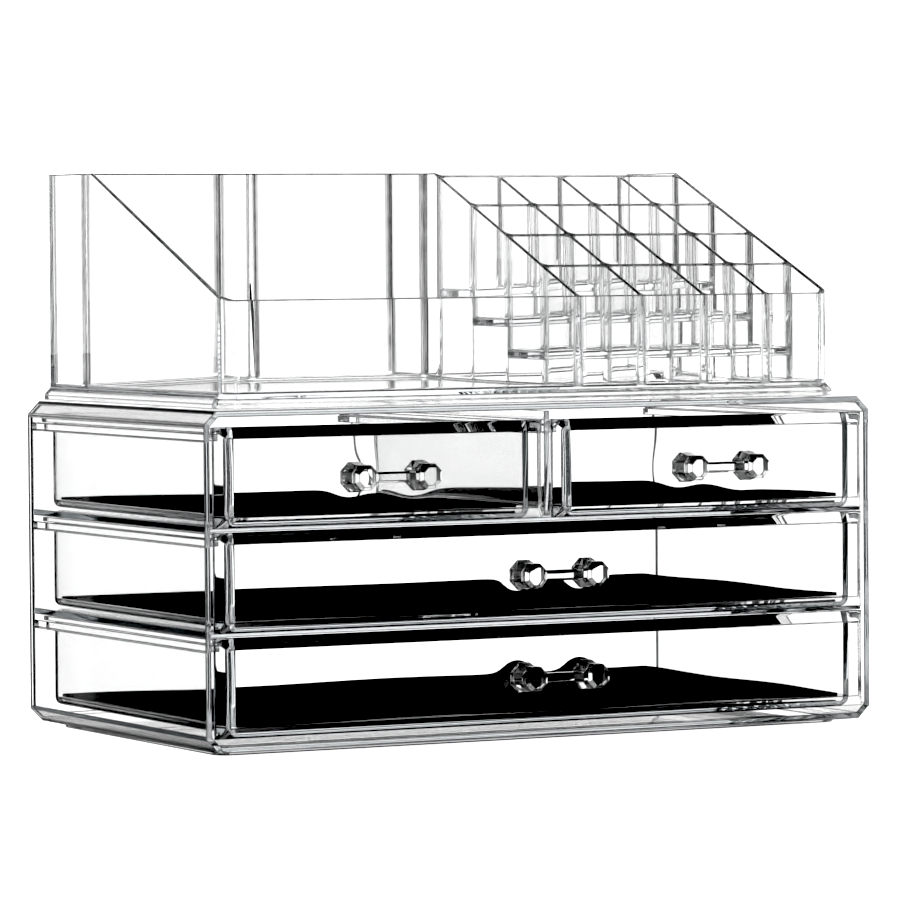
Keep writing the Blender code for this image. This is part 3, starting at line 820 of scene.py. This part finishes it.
# %% Slope
low_wall, flat_top, beyond = 33.4 * MM, 34.5 * MM, 10 * MM
slope_low, slope_top_y = tray_base + low_wall, tray_rear - flat_top
slope_front_y = tray_front + tray_wall
knife_side = [(slope_front_y, slope_low), (slope_top_y, tray_top), (slope_top_y, tray_top + beyond),
              (tray_front - beyond, tray_top + beyond), (tray_front - beyond, slope_low)]
knife = prism("knife", knife_side, sharp, tray_left - beyond, tray_right + beyond, "x", steps=1)
print("the walls slope from z", round(slope_low, 4), "to", round(tray_top, 4))

# %% Drafted pockets
tray_floor, pocket_corner, pocket_fillet, draft = tray_base + 4.4 * MM, 2.0 * MM, 1.1 * MM, 0.0065
in_left, in_right = tray_left + tray_wall, tray_right - tray_wall
in_front, in_rear = tray_front + tray_wall, tray_rear - tray_wall


def drafted_pocket(corners, floor):
    """A cavity: its floor fillet is a quarter circle, and its sides lean out by draft * height."""
    angle = np.linspace(0, np.pi / 2, 5)
    high = tray_top + 2 * above
    insets = np.append(pocket_fillet * (1 - np.sin(angle)), -draft * (high - floor))
    heights = np.append(floor + pocket_fillet * (1 - np.cos(angle)), high)
    rows = [outline_at(corners, pocket_corner, inset, steps=5) for inset in insets]
    return solid("pocket", stack_rows(rows, heights))


print("pockets lean by", draft, "of their height")

# %% Sixteen stepped pockets
plate, rack_back, step_rise, rack_count = 1.7 * MM, 1.6 * MM, 10 * MM, 4
rack_wall_x = [sum(corners_of(f"lipstick_wall_{number}"))[0] / 2 for number in range(1, rack_count + 1)]
rack_rear = corners_of("lipstick_steps")[1][1]
depth = (rack_rear - rack_back - in_front - (rack_count - 1) * plate) / rack_count
column_ends = [wall_x - plate / 2 for wall_x in rack_wall_x[1:]] + [in_right]
corner_cut = tray_cut - tray_wall * (2 - math.sqrt(2))


def cell_corners(row, column):
    """The plan of one pocket; the last one of the front row follows the tray's cut corner."""
    low_x, high_x = rack_wall_x[column] + plate / 2, column_ends[column]
    low_y = in_front + row * (depth + plate)
    high_y = low_y + depth
    if (row, column) == (0, rack_count - 1):
        return [(low_x, low_y), (high_x - corner_cut, low_y), (high_x, low_y + corner_cut), (high_x, high_y),
                (low_x, high_y)]
    return rectangle(low_x, high_x, low_y, high_y)


pockets = [drafted_pocket(cell_corners(row, column), tray_floor + row * step_rise)
           for row in range(rack_count) for column in range(rack_count)]
print(len(pockets), "stepped pockets, each", round(depth / MM, 1), "mm deep")

# %% Open bins
divider_low, divider_high = corners_of("rear_divider")
partition_low, partition_high = corners_of("rear_partition")
rack_left = rack_wall_x[0] - plate / 2
front_bin = [(in_left + corner_cut, in_front), (rack_left, in_front), (rack_left, divider_low[1]),
             (in_left, divider_low[1]), (in_left, in_front + corner_cut)]
pockets.append(drafted_pocket(front_bin, tray_floor))
for low_x, high_x, low_y in ((in_left, partition_low[0], divider_high[1]),
                             (partition_high[0], rack_left, divider_high[1]),
                             (rack_left + plate, in_right, rack_rear)):
    pockets.append(drafted_pocket(rectangle(low_x, high_x, low_y, in_rear), tray_floor))
print(len(pockets), "pockets with the open bins")

# %% Hollow underside
hollow_wide, hollow_narrow, hollow_turn = 0.3 * MM, -0.946 * MM, 1.154 * MM
floor_thick, step_floor, under_corner, under_start = 2.0 * MM, 1.8 * MM, 1.0 * MM, 4 * MM
hollow_rows = [tray_outline(out, -tray_wall) for out in (hollow_wide, hollow_wide, hollow_narrow)]
hollow_heights = [tray_base - above, tray_base + hollow_turn, tray_floor - floor_thick]
hollow = solid("hollow", stack_rows(hollow_rows, hollow_heights))
under = []
for row in range(1, rack_count):
    low_y = in_front + row * (depth + plate)
    high_y = low_y + depth + (plate if row < rack_count - 1 else 0)
    under.append(prism("under", rectangle(rack_wall_x[0] + plate / 2, in_right, low_y, high_y), under_corner,
                       tray_floor - under_start, tray_floor + row * step_rise - step_floor, "z", steps=4))
print("hollows under", len(under), "steps")

# %% Carve and polish the tray
tray_ease, tray_sharpest, rim_depth, rear_depth, past_cut = 0.42 * MM, 36, 0.8 * MM, 0.6 * MM, 1.0 * MM
painted_shade_below_rim, painted_shade_rear_rim, painted_shade_rim_flat, painted_shade_rack = 0.05, 0.5, 0.93, 0.25
for cutters in ([knife], pockets, [hollow] + under):
    tray = combined(tray, cutters, "DIFFERENCE")
tray = polished(tray, tray_ease, sharpest=tray_sharpest)
# The rolls meet at the tilted rear corners, and a few points overshoot: they go back onto the outer faces.
places = read_faces(tray.data.vertices, "co", 3)
places = np.clip(places, *corners_of("organizer_tray")).astype(np.float32)
tray.data.vertices.foreach_set("co", places.ravel())
# Painted shade along the tray's edges: full on the rim's rolls, less on the rear rim, faint below the rim,
# and a line on the rim's flat tops and on the walls' turned corners, stronger in the bins than in the rack.
centres = read_faces(tray.data.polygons, "center", 3)
normals = read_faces(tray.data.polygons, "normal", 3)
rim_height = np.interp(centres[:, 1], [slope_front_y, slope_top_y], [slope_low, tray_top])
on_rim = centres[:, 2] > rim_height - rim_depth
rear_rim = centres[:, 1] > in_rear - rear_depth
lying, upright = normals[:, 2] > 0.9, np.abs(normals[:, 2]) < 0.1
marks = read_faces(tray.data.attributes["edge"].data, "value")
marks = marks * np.where(on_rim, np.where(rear_rim, painted_shade_rear_rim, 1.0), painted_shade_below_rim)
rim_flat = on_rim & lying & (centres[:, 1] < slope_top_y)
marks = np.maximum(marks, painted_shade_rim_flat * rim_flat)
behind_cut = centres[:, 1] > tray_front + tray_cut + past_cut
painted_corner_shade = np.abs(2 * normals[:, 0] * normals[:, 1]) * upright * behind_cut
in_bins = centres[:, 0] < rack_left
mark_painted_shade(tray, np.maximum(marks, painted_corner_shade * np.where(in_bins, 1.0, painted_shade_rack)))
dressed(tray, "tray", "clear_acrylic", moulded_acrylic, "organizer_tray", "rear_divider", "rear_partition",
        "lipstick_steps", "lipstick_wall_1", "lipstick_wall_2", "lipstick_wall_3", "lipstick_wall_4")

# %% [markdown]
# ## The studio
# Clear plastic is photographed against white, and its lines come from dark things at the sides: the light
# bends into the plastic's edges from there. So the studio is a white room with narrow dark strips at chosen
# directions, and a dark band high up. A ring of light at the height of the tray has wider strips, for the
# tray's walls. Light that has bounced off a wall of the plastic is dimmed, as a polarising filter on a lens
# would do it, except towards the rear right, where light that ran along inside the plates comes out. Real
# lamps and black cards could do the same, but the camera would see them. The painted ones are hidden from it.

# %% Compass group
compass, given, result = node_group(
    "compass", [("Direction", "Vector", (0, 0, 0))], [("Turn", "Float"), ("Rise", "Float")])
parts = add(compass, "SeparateXYZ", {0: given["Direction"]}).outputs
bearing = sum_up(compass, "ARCTAN2", parts["X"], parts["Y"])
turn = scaled(compass, bearing, -math.pi, math.pi)
climb = sum_up(compass, "ARCSINE", parts["Z"])
rise = scaled(compass, climb, -math.pi / 2, math.pi / 2)
fill(compass, result, {"Turn": turn, "Rise": rise})
print("compass:", len(compass.nodes), "nodes")

# %% Ramps in degrees
bounce_loss = 0.97
# The compass gives Turn and Rise as 0 to 1. In degrees, each starts at its first number and spans its second.
SPANS = {"Turn": (-180, 360), "Rise": (-90, 180)}


def tone_ramp(tree, compass_values, angle, stops):
    """Brightness against Turn or Rise: one grey stop for each (degrees, brightness) pair."""
    start, span = SPANS[angle]
    node = add(tree, "ValToRGB", {0: compass_values[angle]})
    elements = node.color_ramp.elements
    elements.remove(elements[1])
    for index, (degrees, value) in enumerate(stops):
        stop = elements[0] if index == 0 else elements.new((degrees - start) / span)
        stop.position = (degrees - start) / span
        stop.color = grey(value)
    return node.outputs[0]


def strip_stops(strips, light, dark):
    """Stops for dark strips, each given by its bearing and its width in degrees."""
    soft = 1.0
    sides = ((-1, soft, light), (-1, 0, dark), (1, 0, dark), (1, soft, light))
    return [(bearing + side * (width / 2 + margin), tone)
            for bearing, width in sorted(strips) for side, margin, tone in sides]


def bounced_share(tree):
    """0 for light straight from the surround or through plastic, and bounce_loss once it has bounced."""
    depth = add(tree, "LightPath").outputs["Glossy Depth"]
    return sum_up(tree, "MULTIPLY", depth, bounce_loss, clamp=True)


print("strips:", strip_stops([(9, 4)], 1.0, 0.1))

# %% Floor
floor_half, grain_size, paper_glow, unlit_paper = 0.5, 2 * MM, 0.75, 0.08
lit_from_y, lit_full_y, lit_from_x, lit_full_x = 0.06, 0.09, -0.14, -0.10
floor_corners = np.array(rectangle(-floor_half, floor_half, -floor_half, floor_half))
floor = mesh_object("floor", np.column_stack([floor_corners, np.zeros(4)]), [(0, 1, 2, 3)])
paper, tree, shader, place = new_material("white_paper")
grain = noise(tree, place, 1 / grain_size, 2.0)
fill(tree, shader, {"Base Color": mixed(tree, grain, grey(0.84), grey(0.86)),
                    "Emission Color": grey(1.0), "Emission Strength": paper_glow, "Specular IOR Level": 0.0})
spot = add(tree, "SeparateXYZ", {0: place}).outputs
behind = scaled(tree, spot["Y"], lit_from_y, lit_full_y)
beside = scaled(tree, spot["X"], lit_from_x, lit_full_x)
lit_place = sum_up(tree, "MULTIPLY", behind, beside)
depth = add(tree, "LightPath").outputs["Glossy Depth"]
guided = sum_up(tree, "GREATER_THAN", depth, 1.5)
lit = sum_up(tree, "MULTIPLY", lit_place, guided)
dimming = sum_up(tree, "MULTIPLY", bounced_share(tree), sum_up(tree, "SUBTRACT", 1.0, lit))
shade = add(tree, "BsdfDiffuse", {"Color": grey(unlit_paper)})
floor_mix = add(tree, "MixShader", {0: dimming, 1: shader.outputs[0], 2: shade.outputs[0]})
fill(tree, tree.nodes["Material Output"], {"Surface": floor_mix.outputs[0]})
floor.data.materials.append(paper)
print("floor of", 2 * floor_half, "m")

# %% Light ring at the height of the tray
ring_count, ring_radius, ring_low, ring_high, strip_tone = 96, 0.7, 0.113, 0.36, 0.08
angle = np.arange(ring_count) * 2 * np.pi / ring_count
circle = ring_radius * np.column_stack([np.cos(angle), np.sin(angle)])
ring_points = stack_rows([circle, circle], [ring_low, ring_high])
ring = mesh_object("light_ring", ring_points, grid_faces(2, ring_count))
glow, tree, shader, place = new_material("soft_light")
bearing = placed(tree, compass, {"Direction": place})
strips = [(67, 22), (112, 20), (152, 18), (-158, 16), (-113, 20), (-68, 22), (-8, 8)]
light = tone_ramp(tree, bearing, "Turn", strip_stops(strips, 1.0, strip_tone))
fill(tree, shader, {"Base Color": grey(0.0), "Specular IOR Level": 0.0, "Emission Color": light,
                    "Emission Strength": 1.0})
ring.data.materials.append(glow)
ring.visible_camera = ring.visible_diffuse = ring.visible_shadow = False
print("ring from", ring_low, "to", ring_high, "m")

# %% White surround
seen_white, card_tone = 1.2, 0.1
rise_stops = [(-90, 1.3), (24, 1.3), (34, 0.1), (66, 0.1), (70, 3.4), (90, 3.4)]
card_stops = [(-90, 0.0), (-12, 0.0), (-8, 1.0), (90, 1.0)]
kept_stops = [(-180, 0.15), (-60, 0.15), (-45, 0.03), (-5, 0.03), (2, 0.15), (8, 1.0), (78, 1.0), (84, 0.15)]
cards = [(9, 4), (84, 8), (112, 8), (152, 16), (-158, 8), (-113, 8), (-68, 10), (-27, 12)]
world = bpy.data.worlds.new("studio")
bpy.context.scene.world = world
world.use_nodes = True
tree = world.node_tree
sky = placed(tree, compass, {"Direction": add(tree, "TexCoord").outputs["Generated"]})
by_rise = tone_ramp(tree, sky, "Rise", rise_stops)
by_turn = tone_ramp(tree, sky, "Turn", strip_stops(cards, 1.0, card_tone))
above_floor = tone_ramp(tree, sky, "Rise", card_stops)
by_turn = mixed(tree, above_floor, grey(1.0), by_turn)
kept = tone_ramp(tree, sky, "Turn", kept_stops)
seen = add(tree, "LightPath").outputs["Is Camera Ray"]
room = mixed(tree, seen, mixed(tree, 1.0, by_rise, by_turn, "MULTIPLY"), grey(seen_white))
fill(tree, tree.nodes["Background"], {"Color": mixed(tree, bounced_share(tree), room, kept, "MULTIPLY")})
print("surround:", len(tree.nodes), "nodes")

# %% [markdown]
# ## Camera
# The photograph was taken from a long way off with a long lens: the far edges are hardly smaller than the
# near ones. The camera's direction was found by matching corners of the cabinet to the photograph. Its lens
# is given as a focal length counted in picture points.

# %% Camera
photo_width, focal_points, film = 900, 5424.17, 36.0
yaw, pitch, roll = 0.481803, 0.038761, -0.007493
stand = (-0.81721, -1.55815, 0.15794)
view = np.array([math.sin(yaw) * math.cos(pitch), math.cos(yaw) * math.cos(pitch), -math.sin(pitch)])
level = np.array([math.cos(yaw), -math.sin(yaw), 0.0])
right = level * math.cos(roll) + np.cross(level, view) * math.sin(roll)
place = np.eye(4)
place[:3, :3] = np.column_stack([right, np.cross(right, view), -view])
place[:3, 3] = stand
camera_data = bpy.data.cameras.new("camera")
camera_data.sensor_width = film
camera_data.lens = focal_points * film / photo_width
camera_data.clip_end = 50.0
camera = bpy.data.objects.new("camera", camera_data)
bpy.context.collection.objects.link(camera)
camera.matrix_world = Matrix(place.tolist())
bpy.context.scene.camera = camera
print("lens", round(camera_data.lens, 1), "mm")

# %% [markdown]
# ## Contrast and light paths
# The photograph is printed hard: its whites are pure and its lines dark. The Standard view keeps whites
# white, and a curve sets the black and the white point. Light may cross a plate many times before it
# leaves, so the paths are long.

# %% View and light paths
black_point, white_point, longest_path, longest_kind = 0.03, 0.7, 64, 48
scene = bpy.context.scene
scene.view_settings.view_transform = "Standard"
scene.view_settings.use_curve_mapping = True
curves = scene.view_settings.curve_mapping
curves.black_level, curves.white_level = [black_point] * 3, [white_point] * 3
curves.update()
cycles = scene.cycles
cycles.max_bounces = longest_path
cycles.transmission_bounces = cycles.glossy_bounces = longest_kind
cycles.caustics_refractive = cycles.caustics_reflective = True
print("light may bounce", cycles.max_bounces, "times")
